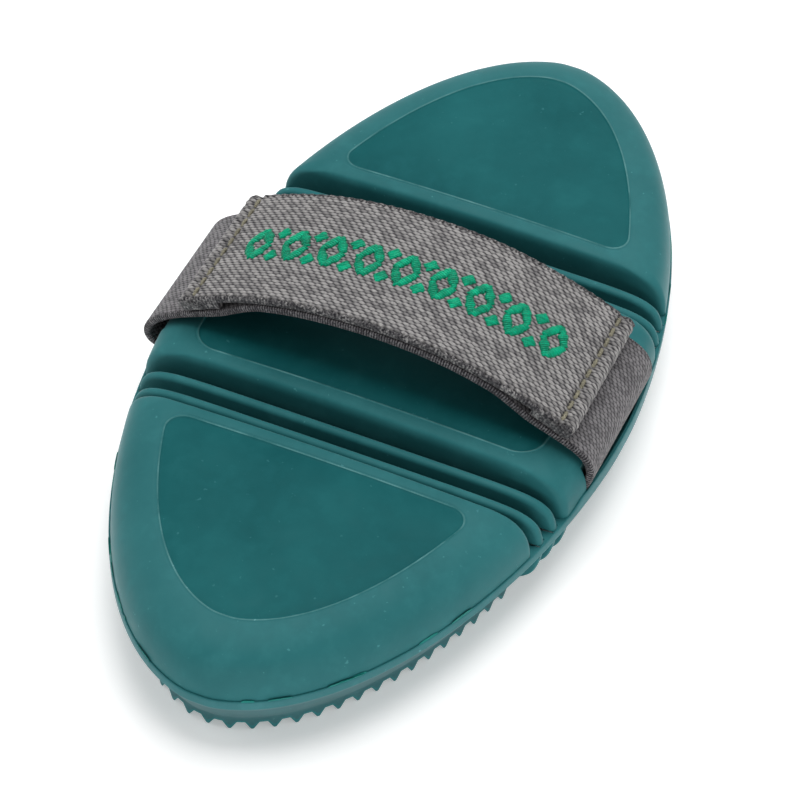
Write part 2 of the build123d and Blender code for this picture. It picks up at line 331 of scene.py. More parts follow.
def base_shape():
    """Deck, rim, skirt and outer toothed band in one. The rim's edge rises beside the strap slots."""
    angle, phase = oval_columns(BAND_INSET + RING_WALL / 2, TOOTH_PHASES)
    edge = tooth_edge(phase)
    low = np.minimum(edge + 0.25, BAND_TOP - 0.1)
    x, _ = oval_point(angle, 0)
    rise = LIP_HEIGHT * (1 - smooth_step(np.abs(x), LIP_HALF, LIP_HALF + LIP_RAMP))
    top = [
        (4.4, GROOVE_FLOOR, 0.0), (3.3, GROOVE_FLOOR, 0.0), (2.6, GROOVE_FLOOR + 0.05, 0.1),
        (1.9, GROOVE_FLOOR + 0.2, 0.5), (1.3, RIM_TOP - 0.16, 0.9), (0.85, RIM_TOP - 0.12, 1.0),
        (0.52, RIM_TOP - 0.11, 1.0), (0.36, RIM_TOP - 0.08, 1.0), (0.24, RIM_TOP - 0.06, 1.0),
        (0.12, RIM_TOP - 0.1, 1.0), (0.04, RIM_TOP - 0.28, 0.9), (0.0, RIM_TOP - 0.8, 0.5),
        (0.0, RIM_EDGE + 0.25, 0.0), (0.02, RIM_EDGE, 0.0), (0.12, RIM_EDGE - 0.18, 0.0),
        (0.36, RIM_EDGE - 0.42, 0.0),
    ]
    profile = [(inset, z + rise * lift) for inset, z, lift in top]
    inset, _, _ = top[-1]
    skirt_top = RIM_EDGE - 0.42
    for f in np.arange(1, 7) / 6:
        profile.append((inset + (BAND_INSET - inset) * f, skirt_top + (BAND_TOP - skirt_top) * f))
    for f in (0.35, 0.7, 1.0):
        profile.append((BAND_INSET + 0.03, BAND_TOP + (low - BAND_TOP) * f))
    for depth, z in (
        (0.10, edge + 0.08), (0.32, edge), (RING_WALL - 0.32, edge), (RING_WALL - 0.08, edge + 0.1),
        (RING_WALL, low), (RING_WALL, BAND_TOP), (RING_WALL, DECK_UNDER - 0.4), (RING_WALL + 0.4, DECK_UNDER),
    ):
        profile.append((BAND_INSET + depth, z))
    rows = [oval_row(angle, inset, z) for inset, z in profile]
    n = len(angle)
    faces = tube_faces(len(rows), n)
    # Material 4, on the rim's outer band and lower edge, is a lighter copy of the rubber: painted light.
    # Material 5, on the skirt, is a darker, greyer copy of the rubber: painted shade with a grey painted
    # sheen.
    kind = [0] * (len(top) - 6) + [4] * 4 + [5] * 9 + [0] * len(rows)
    slots = [kind[face[0] // n] for face in faces[:-2]] + [0, 0]
    return np.concatenate(rows), faces, slots


def cut_piece(name, shape, planes, materials):
    """The part of a closed shape on the kept side of each plane (point, outward normal), its cuts filled."""
    verts, faces, slots = shape
    mesh = new_mesh(name, verts, faces, materials, slots)
    work = bmesh.new()
    work.from_mesh(mesh)
    for point, normal in planes:
        geometry = work.verts[:] + work.edges[:] + work.faces[:]
        cut = bmesh.ops.bisect_plane(
            work, geom=geometry, dist=1e-5, plane_co=point, plane_no=normal, clear_outer=True
        )
        edges = [e for e in cut["geom_cut"] if isinstance(e, bmesh.types.BMEdge)]
        bmesh.ops.edgeloop_fill(work, edges=edges)
    bmesh.ops.scale(work, vec=(MM, MM, MM), verts=work.verts)
    work.to_mesh(mesh)
    work.free()
    obj = placed(name, mesh)
    tidy_normals(obj)
    return obj


def between(start, end):
    """The two planes that keep what lies from start to end along X."""
    return [((start, 0, 0), (-1, 0, 0)), ((end, 0, 0), (1, 0, 0))]


# Outside of the pads: (height, inset of the side, how far the cut wall leans back, corner radius)
PAD_LEVELS = [
    (11.5, 0.38, 0.0, 1.2), (12.3, 0.40, 0.0, 1.2), (15.0, 0.62, 0.04, 1.3), (17.2, 1.20, 0.08, 1.5),
    (19.0, 2.15, 0.14, 1.8), (20.3, 3.45, 0.25, 2.2), (21.2, 5.10, 0.50, 2.8), (21.75, 6.70, 0.95, 3.4),
    (22.0, 7.90, 1.90, 4.2), (22.05, 8.40, 3.20, 4.9),
]
# The panel's edge, from outside to inside: (distance out from its line, height)
PANEL_EDGE = [
    (0.42, 0.0), (0.28, 0.02), (0.17, 0.07), (0.06, 0.10), (-0.04, 0.09), (-0.14, 0.02), (-0.24, -0.08),
    (-0.36, -0.14), (-0.55, -0.16), (-1.0, -0.16), (-1.8, -0.16), (-3.0, -0.16),
]
# Part of the panel's edge that takes the pale bead material; its paleness is a painted highlight
PANEL_BEAD = (0.17, -0.14)


def round_max(a, b, radius):
    """Where two boundaries meet, a round corner of that radius."""
    both = np.hypot(np.maximum(a + radius, 0), np.maximum(b + radius, 0)) - radius
    return np.where((a > -radius) & (b > -radius), both, np.maximum(a, b))


def oval_distance(x, y, a, b):
    """Roughly how far a point lies outside an oval with these half axes."""
    ax, ay = soft_abs(np.abs(x) / a) + 1e-9, soft_abs(np.abs(y) / b) + 1e-9
    r = (ax ** OVAL_POWER + ay ** OVAL_POWER) ** (1 / OVAL_POWER)
    slope = r ** (1 - OVAL_POWER) * np.hypot(ax ** (OVAL_POWER - 1) / a, ay ** (OVAL_POWER - 1) / b)
    return (r - 1) / slope


def contour(centre, angle, a, b, wall, radius):
    """Distance from centre to the outline at each angle. The outline is an oval cut off by the walls."""
    low = np.zeros_like(angle)
    high = np.full_like(angle, 2 * HALF_LENGTH)
    for _ in range(34):
        r = (low + high) / 2
        x = centre + r * np.cos(angle)
        y = r * np.sin(angle)
        outside = round_max(oval_distance(x, y, a, b), wall(x), radius) > 0
        high = np.where(outside, r, high)
        low = np.where(outside, low, r)
    return (low + high) / 2


def pad_shape(centre, columns, wall_start, panel_start, facing):
    """A raised pad: outlines from the deck up over the shoulder and the panel's edge, and in to the middle.

    facing is 1 for an end pad, whose wall looks at the middle of the comb, and 0 for the centre pad with
    two walls. The material of a face is 0 on the dome, 1 on the panel and 2 on its edge."""
    angle = np.linspace(0, 2 * math.pi, columns, endpoint=False)
    rows = []
    kinds = []

    def wall_at(lean):
        if facing:
            return lambda x: wall_start + lean - x
        return lambda x: np.abs(x) - (wall_start - lean)

    def add(height, inset_x, inset_y, lean, radius, relief=0.0, kind=0):
        r = contour(centre, angle, HALF_LENGTH - inset_x, HALF_WIDTH - inset_y, wall_at(lean), radius)
        x = centre + r * np.cos(angle)
        y = r * np.sin(angle)
        share = np.clip((height - RIM_TOP) / 9.6, 0, 1) ** 1.5
        rows.append(np.stack([x, y, height - crown(y, share) + relief], axis=1))
        kinds.append(kind)

    def shoulder(inset):
        return 22.55 - 0.65 * math.exp(-(inset - 8.2) / 3)

    levels, _ = spline(PAD_LEVELS, 44)
    for height, inset, lean, radius in levels:
        share = (inset / PANEL_INSET_Y) ** 3
        add(height, inset + (PANEL_INSET_X - PANEL_INSET_Y) * share, inset, lean, radius)
    panel_lean = abs(panel_start - wall_start)
    for out, relief in PANEL_EDGE:
        kind = 0 if out > PANEL_BEAD[0] else 2 if out > PANEL_BEAD[1] else 1
        inset = PANEL_INSET_Y - out
        add(shoulder(inset), PANEL_INSET_X - out, inset, panel_lean - out, PANEL_CORNER + out, relief, kind)
    edge = rows[-1]
    for f in (0.94, 0.86, 0.76, 0.65, 0.53, 0.4, 0.27, 0.14, 0.05):
        inner = np.stack([centre + (edge[:, 0] - centre) * f, edge[:, 1] * f], axis=1)
        z = shoulder(PANEL_INSET_Y + 3 + 30 * (1 - f)) - crown(inner[:, 1]) - PANEL_DEPTH
        rows.append(np.column_stack([inner, z]))
        kinds.append(1)
    middle = len(rows) * columns
    last = middle - columns
    faces = grid_faces(len(rows), columns)
    faces += [(last + c, last + (c + 1) % columns, middle) for c in range(columns)]
    faces.append(tuple(range(columns)))
    slots = [kind for kind in kinds[:-1] for _ in range(columns)] + [1] * columns + [0]
    return np.vstack([*rows, [[centre, 0, rows[-1][:, 2].max()]]]), faces, slots


# Side of a rib: (height, inset)
RIB_LEVELS = [
    (11.5, 0.5), (12.3, 0.52), (14.4, 1.0), (15.9, 1.85), (17.0, 3.3), (17.75, 5.3), (18.2, 8.2),
    (18.45, 13.0), (18.55, 20.0), (18.6, 30.0),
]
# Side of the ridge under it
RIDGE_LEVELS = [(9.8, 0.5), (8.2, 0.65), (6.6, 1.0), (4.9, 1.7), (3.4, 2.9), (2.2, 4.4), (1.2, 5.4)]


def plate(outline, middle, half, radius):
    """A wall of even thickness with rounded edges, from its closed outline in Y and Z."""
    tangent = np.roll(outline, -1, axis=0) - np.roll(outline, 1, axis=0)
    tangent /= np.linalg.norm(tangent, axis=1)[:, None]
    inward = np.stack([-tangent[:, 1], tangent[:, 0]], axis=1)
    radius = np.full(len(outline), radius)
    rows = []
    turns = np.radians([0, 22, 45, 68, 90])
    for side, turn in [(-1, -turn) for turn in turns[::-1]] + [(1, turn) for turn in turns]:
        offset = outline + inward * (radius * (1 - math.cos(turn)))[:, None]
        x = middle + side * (half - radius) + radius * math.sin(turn)
        rows.append(np.column_stack([x, offset]))
    return np.concatenate(rows), tube_faces(len(rows), len(outline))


def side_y(x, inset):
    return (HALF_WIDTH - inset) * (1 - (x / (HALF_LENGTH - inset)) ** OVAL_POWER) ** (1 / OVAL_POWER)


def crest_outline(middle):
    """Outline of a rib above the deck, anticlockwise seen from +X."""
    points = [(side_y(middle, inset), z) for z, inset in RIB_LEVELS] + [(0.0, RIB_LEVELS[-1][0] + 0.02)]
    whole = points + [(-y, z) for y, z in points[-2::-1]]
    curve, _ = spline(whole, 260)
    return curve


def ridge_outline(middle):
    """Outline of the serrated ridge under a rib."""
    right, _ = spline([(side_y(middle, inset), z) for z, inset in RIDGE_LEVELS], 26)
    end = right[-1][0]
    teeth = int(2 * end / TOOTH_PITCH)
    phase = np.concatenate([TOOTH_PHASES + k for k in range(teeth)])
    y = (phase - (teeth - 1) / 2) * TOOTH_PITCH
    keep = np.abs(y) < end - 0.4
    local = (phase + 0.5) % 1 - 0.5
    bottom = np.column_stack([y, tooth_edge(local)])[keep]
    left = right * [-1, 1]
    return np.vstack([left, bottom, right[::-1]])


def ring_wall_shape(inset, start, end):
    """A stretch of an inner serrated oval between two angles, as a closed wall hung from the deck."""
    angle, phase = oval_columns(inset + RING_WALL / 2, TOOTH_PHASES)
    angle = np.where(angle > math.pi, angle - 2 * math.pi, angle)
    order = [k for k in np.argsort(angle) if start < angle[k] < end]
    angle, edge = angle[order], tooth_edge(phase[order])
    low = np.minimum(edge + 0.25, BAND_TOP - 0.1)
    profile = [
        (0.0, DECK_LAP), (0.0, BAND_TOP), (0.03, low), (0.1, edge + 0.08), (0.32, edge),
        (RING_WALL - 0.32, edge), (RING_WALL - 0.1, edge + 0.08), (RING_WALL - 0.03, low),
        (RING_WALL, BAND_TOP), (RING_WALL, DECK_LAP),
    ]
    rows = [oval_row(angle, inset + depth, z) for depth, z in profile]
    return np.concatenate(rows), sweep_faces(len(rows), len(angle))


# ---- Webbing shapes

def strap_route():
    """Centreline of the base strap in Y and Z, from the left tail's end to the right tail's end."""
    flat = [(y, TAIL_LEVEL) for y in (TAIL_END, (TAIL_END + TAIL_START) / 2, TAIL_START)]
    tail = [*flat, (38.4, 8.4), (40.6, 10.0)]
    return tail + STRAP_ARCH + [(-y, z) for y, z in tail[::-1]]


class Route:
    """A curve in the YZ plane, read by the distance along it."""

    def __init__(self, points):
        self.points = points
        self.along = np.concatenate([[0], np.cumsum(np.linalg.norm(np.diff(points, axis=0), axis=1))])
        tangent = np.gradient(points, self.along, axis=0)
        self.tangent = tangent / np.linalg.norm(tangent, axis=1)[:, None]
        self.length = self.along[-1]

    def read(self, s):
        """Y and Z of the points at distance s along the curve, and of its direction there."""
        return [np.interp(s, self.along, column) for column in (*self.points.T, *self.tangent.T)]

    def at(self, s, n):
        """Y and Z at distance s along the curve and n off it, to its upper or outer side."""
        s, n = np.asarray(s, float), np.asarray(n, float)
        inside = np.clip(s, 0, self.length)
        y, z, ty, tz = self.read(inside)
        over = s - inside
        return y + ty * over + tz * n, z + tz * over - ty * n

    def where_y(self, y):
        """Distance along the curve's upper side at which it crosses a given y."""
        top = self.points[:, 1] > RIB_TOP
        return float(np.interp(-y, -self.points[top, 0], self.along[top]))


def base_route():
    """The base strap's centreline. Between the overlay's folds it rises to lie against the band."""
    plain = Route(spline(strap_route(), 900)[0])
    left = plain.where_y(OVERLAY_LEFT - FOLD)
    right = plain.where_y(OVERLAY_RIGHT + FOLD)
    s = plain.along
    rise = smooth_step(s, left, left + RISE_RAMP) - smooth_step(s, right - RISE_RAMP, right)
    y, z = plain.at(s, (OVERLAY_LIFT - WEBBING) * 0.94 * rise)
    return Route(np.column_stack([y, z]))


def overlay_route():
    low = Route(spline(STRAP_ARCH, 900)[0])
    y, z = low.at(low.along, OVERLAY_LIFT)
    keep = (y <= OVERLAY_LEFT - WEBBING) & (y >= OVERLAY_RIGHT + WEBBING) & (z > RIB_TOP)
    return Route(np.column_stack([y, z])[keep])


def band_loop(length, fold, side, step):
    """Closed section of a band with both ends folded: distances along it, offsets, share of outer face.

    side is -1 where the folds lie under the band, and 1 where they lie on its outer side."""
    half = WEBBING / 2
    s = list(np.arange(0, length, step))
    n = [-side * half] * len(s)
    outer = [1.0] * len(s)

    def roll(end, direction, turns):
        for turn in turns:
            s.append(end + direction * WEBBING * math.sin(turn))
            n.append(side * half - side * WEBBING * math.cos(turn))
            outer.append(1.0)

    def run(start, stop, value, count):
        for f in np.linspace(0, 1, count)[1:]:
            s.append(start[0] + (stop[0] - start[0]) * f)
            n.append(start[1] + (stop[1] - start[1]) * f)
            outer.append(value)

    back, deep = side * half, side * (half + WEBBING)
    roll(length, 1, np.linspace(0, math.pi, 22))
    run((length, deep), (length - fold, deep), 0.6, 16)
    run((length - fold, deep), (length - fold, back), 0.2, 4)
    run((length - fold, back), (fold, back), 0.5, int((length - 2 * fold) / (2 * step)))
    run((fold, back), (fold, deep), 0.2, 4)
    run((fold, deep), (0, deep), 0.6, 16)
    roll(0, -1, np.linspace(math.pi, 0, 22)[1:-1])
    return np.array(s), np.array(n), np.array(outer)


def band_columns(half, step):
    """Places across a band, close together at the rounded edges."""
    edge = np.array([0.0, 0.1, 0.22, 0.38, 0.58])
    inner = np.arange(-half + 0.8, half - 0.8 + 1e-6, step)
    return np.concatenate([-half + edge, inner, half - edge[::-1]])


# How a webbing is woven: half its width, rows this far apart, floats this long and each row's set off from
# the last, the depth between rows, the pitch and strength of the loops along its edges, the weave's depth in
# the mesh, and the mesh's spacing.
Cloth = namedtuple(
    "Cloth", "half pitch float_length offset gap tick tick_depth depth along_step across_step"
)
OVERLAY_WEAVE = Cloth(OVERLAY_HALF, 0.74, 1.5, 0.5, 0.42, 0.62, 0.1, 0.2, 0.205, 0.2)
BASE_WEAVE = Cloth(STRAP_HALF, 0.72, 1.05, 0.5, 0.36, 0.5, 0.38, 0.12, 0.31, 0.245)


def floats(along, across, cloth, maths):
    """Where a place lies in the weave: its row, its side of the row from -1 to 1, and its phase."""
    turn = across * (1 / cloth.pitch)
    row = maths.floor(turn)
    side = (turn - row) * 2 - 1
    wander = maths.sin(row * 12.9898) * 0.11 + maths.sin(along * 1.1 + row * 2.1) * 0.07
    return row, side, along * (1 / cloth.float_length) + row * cloth.offset + wander + side * 0.14


def weave(along, across, cloth, maths):
    """Height of the thread, from 0 to 1. maths is numpy for a mesh and Maths for a material."""
    _, side, phase = floats(along, across, cloth, maths)
    dip = maths.cos(phase * (2 * math.pi)) * 0.5 + 0.5
    square = side * side
    end = dip * dip * (square * 0.68 + 0.3)
    return (1 - end) * (1 - square * square * cloth.gap)


def float_tone(along, across, cloth, maths):
    """A lightness from 0 to 1 for each float, uneven from one to the next."""
    row, _, phase = floats(along, across, cloth, maths)
    scattered = maths.sin(row * 12.9898 + maths.floor(phase) * 78.233) * 437.585
    return scattered - maths.floor(scattered)


def band_object(name, route, fold, side, cloth, material, relief=None, sway=0.0):
    """A woven band: its section loop swept across X, with the weave pressed into both faces.

    sway is how far it lies off to the front where it stands high above the deck."""
    s, n, outer = band_loop(route.length, fold, side, cloth.along_step)
    S, V = np.meshgrid(s, band_columns(cloth.half, cloth.across_step), indexing="ij")
    N, O = (np.repeat(line[:, None], S.shape[1], axis=1) for line in (n, outer))
    next_s, next_n = np.roll(s, -1) - np.roll(s, 1), np.roll(n, -1) - np.roll(n, 1)
    size = np.maximum(np.hypot(next_s, next_n), 1e-9)
    turn = -np.sign(np.sum(s * np.roll(n, -1) - np.roll(s, -1) * n))
    out_s, out_n = -turn * next_n / size, turn * next_s / size
    from_edge = cloth.half - np.abs(V)
    rounding = np.sqrt(np.maximum(1 - np.clip(1 - from_edge / 0.5, 0, 1) ** 2, 0.02))
    layer = np.where(np.abs(N) > WEBBING / 2 + 0.01, np.sign(N) * WEBBING, 0.0)
    N = layer + (N - layer) * (0.55 + 0.45 * rounding)
    sink, shade = relief(S, V) if relief else (0.0, 1.0)
    on_top = (O > 0.9) & (N * n[0] > -0.2)
    push = (weave(S, V, cloth, np) - 0.6) * cloth.depth * O * rounding + sink * on_top
    Y, Z = route.at(S + out_s[:, None] * push, N + out_n[:, None] * push)
    X = V + sway * smooth_step(Z, SWAY_LOW, SWAY_HIGH)
    verts = np.stack([X, Y, Z], axis=-1).reshape(-1, 3)
    obj = mesh_object(name, verts, sweep_faces(*S.shape), [material], sharp_deg=80)
    store(obj, along=S, across=V, shade=np.where(on_top, shade, 1.0))
    return obj


def overlay_relief(seams):
    """The stitch grooves, the puckered hems beyond them, and the row of hollows along each edge."""
    def relief(S, V):
        sink = np.zeros_like(S)
        shade = np.ones_like(S)
        for seam, outward in zip(seams, (-1, 1)):
            d = (S - seam) * outward
            between = 0.5 - 0.5 * np.cos(2 * math.pi * (V / STITCH_PITCH))
            groove = np.exp(-((d + 0.1) / 0.5) ** 2)
            hole = groove * (0.55 + 0.45 * between ** 2)
            roll = smooth_step(d, 0.3, 1.5)
            crease = (0.5 - 0.5 * np.cos(2 * math.pi * (V / STITCH_PITCH + 0.12 * d))) ** 2
            pucker = crease * np.exp(-((d - 0.9) / 1.1) ** 2)
            lumps = np.sin(V * 2.3 + d) * np.sin(V * 5.1 + 1.3) * roll
            sink += -0.55 * hole + 0.3 * roll - 0.2 * pucker + 0.08 * lumps
            # The stitch holes and puckers darken the colour: painted shade.
            shade *= (1 - 0.66 * hole) * (1 - 0.22 * pucker)
        inward = OVERLAY_WEAVE.half - np.abs(V)
        wander = 1.5 * np.sin(0.83 * S) + 0.9 * np.sin(2.1 * S + 0.4 * V)
        dots = np.clip(0.35 + 0.75 * np.cos(2 * math.pi * S / EDGE_HOLLOW_PITCH + wander), 0, 1)
        hollow = dots * np.exp(-((inward - EDGE_HOLLOW_INSET) / 0.32) ** 2)
        edge = 1 - smooth_step(inward, 0.5, 1.0)
        # The hollows along each edge darken the colour too: painted shade.
        return sink - 0.3 * hollow + 0.08 * edge * np.sin(S * 3.1), shade * (1 - 0.68 * hollow)
    return relief


# ---- Thread shapes

def twisted_stitch(place, across, along, up):
    """One stitch of two-ply thread lying along a direction, bowed down at both ends."""
    rings, sides = 26, 14
    t = np.linspace(-0.5, 0.5, rings)
    taper = np.sqrt(np.maximum(1 - (2 * np.abs(t)) ** 6, 0.03))
    turn = np.linspace(0, 2 * math.pi, sides, endpoint=False)
    ply = 1 + 0.2 * np.cos(2 * turn[None, :] - 2 * math.pi * t[:, None] * 3.2)
    r = STITCH_RADIUS * taper[:, None] * ply
    centre = place + np.outer(t * STITCH_LENGTH, across) - np.outer(STITCH_SAG * (2 * t) ** 2, up)
    ring = (r * np.cos(turn))[..., None] * along + (r * np.sin(turn))[..., None] * up
    return (centre[:, None, :] + ring).reshape(-1, 3), tube_faces(rings, sides)


def collected(shapes):
    """Several shapes as one list of points and faces."""
    verts, faces, start = [], [], 0
    for v, f in shapes:
        verts.append(v)
        faces += [tuple(start + i for i in face) for face in f]
        start += len(v)
    return np.concatenate(verts), faces


def frame_on(route, s, lift):
    """A point on a route's outer side, with the directions along it and out of it."""
    y, z = route.at(s, lift)
    _, _, ty, tz = route.read(s)
    return np.array([0.0, y, z]), np.array([0.0, ty, tz]), np.array([0.0, tz, -ty])


def stitch_row(name, route, s, count, lift):
    place, along, up = frame_on(route, s, lift)
    shapes = []
    for k in range(count):
        x = (k - (count - 1) / 2) * STITCH_PITCH
        slant = np.array([1.0, 0, 0]) + along * rng.uniform(-0.06, 0.06)
        centre = place + np.array([x, 0, 0]) + along * rng.uniform(-0.08, 0.08)
        shapes.append(twisted_stitch(centre, slant, along, up))
    verts, faces = collected(shapes)
    return mesh_object(name, verts, faces, [SEAM_THREAD], sharp_deg=70)


def satin_stroke(ends, widths, height, route, base):
    """A raised bar of satin stitch between two flat places, its threads running across it."""
    (v0, s0), (v1, s1) = ends
    length = math.hypot(v1 - v0, s1 - s0)
    threads = max(4, round(length / SATIN_THREAD))
    a = np.linspace(0, 1, threads * 6 + 1)
    which = np.minimum((a * threads).astype(int), threads - 1)
    inside = a * threads - which
    ragged = rng.uniform(-0.15, 0.13, threads)[which]
    width = np.interp(a, np.linspace(0, 1, len(widths)), widths) / 2 + ragged
    b = np.linspace(-1, 1, 11)
    dv, ds = (v1 - v0) / length, (s1 - s0) / length
    ridge = np.sqrt(np.maximum(1 - (2 * inside - 1) ** 2, 0))
    tone = rng.uniform(0.6, 1.0, threads)[which]
    V = v0 + dv * (a * length)[:, None] - ds * width[:, None] * b + dv * SATIN_LEAN * b[None, :]
    S = s0 + ds * (a * length)[:, None] + dv * width[:, None] * b + ds * SATIN_LEAN * b[None, :]
    ends_fall = np.minimum(1, np.minimum(a, 1 - a) * length / 0.35 + 0.25)
    H = height * np.sqrt(np.maximum(1 - (0.97 * b) ** 2, 0))[None, :] * ends_fall[:, None]
    H = H + (ridge[:, None] - 0.5) * 0.17 * (1 - b[None, :] ** 4)
    # Strokes leaning one way are painted darker: a painted satin sheen.
    facing = 1.0 if dv * ds >= 0 else 0.8
    # Each thread's crest is painted lighter and the stroke's sides darker, painted highlight and shade, times
    # each thread's own tone.
    light = facing * ((0.35 + 0.65 * ridge) * tone)[:, None] * (1 - 0.5 * np.abs(b) ** 3)
    layers = [np.stack([V, *route.at(S, n)], axis=-1).reshape(-1, 3) for n in (base + H, base - 0.25)]
    rows, cols = S.shape
    n = rows * cols
    faces = grid_faces(rows, cols, wrap_cols=False)
    faces += [tuple(i + n for i in face[::-1]) for face in faces]
    rim = [r * cols for r in range(rows)] + [(rows - 1) * cols + c for c in range(1, cols)]
    rim += [r * cols + cols - 1 for r in range(rows - 2, -1, -1)] + list(range(cols - 2, 0, -1))
    faces += [(i, j, j + n, i + n) for i, j in zip(rim, rim[1:] + rim[:1])]
    return np.vstack(layers), faces, np.tile(light.ravel(), 2)


def embroidery(route):
    """A row of hollow diamonds with dots between them."""
    base = WEBBING / 2
    shapes = []
    inset = MOTIF_STROKE / 2
    for k in range(2 * MOTIFS - 1):
        s = route.where_y((k - MOTIFS + 1) * MOTIF_PITCH / 2)
        if k % 2:
            for v in (-DOT_OFFSET, DOT_OFFSET):
                ends = ((v - DOT_HALF, s), (v + DOT_HALF, s))
                shapes.append(satin_stroke(ends, (0.5, 2.0 * DOT_HALF, 0.5), 0.36, route, base))
            continue
        tip = MOTIF_HALF_HEIGHT - 1.5 * inset
        side = MOTIF_HALF_WIDTH - 0.75 * inset
        corners = [(tip, s), (0, s + side), (-tip, s), (0, s - side)]
        for start, stop in zip(corners, corners[1:] + corners[:1]):
            shapes.append(satin_stroke((start, stop), (1.25, MOTIF_STROKE, 1.25), 0.42, route, base))
    verts, faces = collected([shape[:2] for shape in shapes])
    obj = mesh_object("embroidered_diamonds", verts, faces, [GREEN_THREAD], sharp_deg=80)
    store(obj, lightness=np.concatenate([shape[2] for shape in shapes]))
    return obj


# ---- Materials

class Value:
    """A number worked out in a material, with one maths node for each step."""

    def __init__(self, tree, socket):
        self.tree, self.socket = tree, socket

    def step(self, operation, *others):
        made = self.tree.nodes.new("ShaderNodeMath")
        made.operation = operation
        for place, value in zip(made.inputs, (self, *others)):
            if isinstance(value, Value):
                self.tree.links.new(value.socket, place)
            else:
                place.default_value = value
        return Value(self.tree, made.outputs["Value"])

    __add__ = partialmethod(step, "ADD")
    __sub__ = partialmethod(step, "SUBTRACT")
    __rsub__ = partialmethod(step, "MULTIPLY_ADD", -1.0)
    __mul__ = partialmethod(step, "MULTIPLY")


class Maths:
    """The sums numpy does for a mesh, done by nodes."""

    def floor(value):
        return value.step("FLOOR")

    def sin(value):
        return value.step("SINE")

    def cos(value):
        return value.step("COSINE")


class Look:
    """A material being made."""

    def __init__(self, name):
        self.material = bpy.data.materials.new(name)
        self.material.use_nodes = True
        self.tree = self.material.node_tree
        self.where = self.node("TexCoord").outputs["Object"]

    def node(self, kind, **inputs):
        made = self.tree.nodes.new("ShaderNode" + kind)
        self.feed(made, **inputs)
        return made

    def feed(self, node, **inputs):
        """Sets a node's inputs to numbers, or links them. Names have _ for a space."""
        for name, value in inputs.items():
            place = node.inputs[name.replace("_", " ")]
            if isinstance(value, Value):
                value = value.socket
            if isinstance(value, bpy.types.NodeSocket):
                self.tree.links.new(value, place)
            else:
                place.default_value = value

    def finished(self, **inputs):
        self.feed(self.tree.nodes["Principled BSDF"], **inputs)
        return self.material

    def stored(self, name):
        made = self.node("Attribute")
        made.attribute_name = name
        return Value(self.tree, made.outputs["Fac"])

    def noise(self, scale, detail, roughness=0.55, where=None):
        inputs = {"Scale": scale, "Detail": detail, "Roughness": roughness, "Vector": where or self.where}
        return self.node("TexNoise", **inputs).outputs["Fac"]

    def ramp(self, value, *stops):
        """A colour ramp; stops are (position, colour or grey)."""
        made = self.node("ValToRGB", Fac=value)
        made.color_ramp.elements[0].position = stops[0][0]
        made.color_ramp.elements[1].position = stops[-1][0]
        for position, _ in stops[1:-1]:
            made.color_ramp.elements.new(position)
        for element, (_, colour) in zip(made.color_ramp.elements, stops):
            element.color = (*(colour if isinstance(colour, tuple) else [colour] * 3), 1)
        return made.outputs["Color"]

    def mixed(self, factor, a, b, kind="MIX"):
        made = self.node("Mix")
        made.data_type = "RGBA"
        made.blend_type = kind
        self.feed(made, Factor=factor, A=a, B=b)
        return made.outputs["Result"]

    def times(self, a, b):
        return self.mixed(1.0, a, b, "MULTIPLY")

    def bump(self, height, strength, distance, below=None):
        made = self.node("Bump", Strength=strength, Distance=distance, Height=height)
        if below:
            self.feed(made, Normal=below)
        return made.outputs["Normal"]


def rubber(name, deep, pale, rough, sheen, dust=0.5, shine=0.16, patch=38):
    """Moulded rubber: mottled teal with a dusty bloom, fine grain and a few specks of lint."""
    look = Look(name)
    cloud = look.noise(patch, 6, 0.62)
    smear = look.noise(210, 4, 0.6)
    dust_tone, lint_tone = ([*(1.5 * c + lift for c in pale), 1] for lift in (0.02, 0.03))
    bloom = look.ramp(smear, (0.5, 0.0), (0.74, 0.3 * dust))
    dusty = look.mixed(bloom, look.ramp(cloud, (0.32, deep), (0.7, pale)), dust_tone)
    lint = look.ramp(look.noise(820, 2), (0.715, 0.0), (0.765, dust))
    uneven = look.bump(smear, 0.12, 0.00012, look.bump(cloud, 0.2, 0.0003))
    return look.finished(
        Base_Color=look.mixed(lint, dusty, lint_tone),
        Normal=look.bump(look.noise(2400, 3), 0.3, 0.00003, uneven),
        Roughness=look.ramp(smear, (0.3, rough - 0.06), (0.7, rough + 0.08)), Specular_IOR_Level=shine,
        Sheen_Weight=sheen, Sheen_Roughness=0.35, Sheen_Tint=(0.75, 0.9, 0.92, 1),
    )


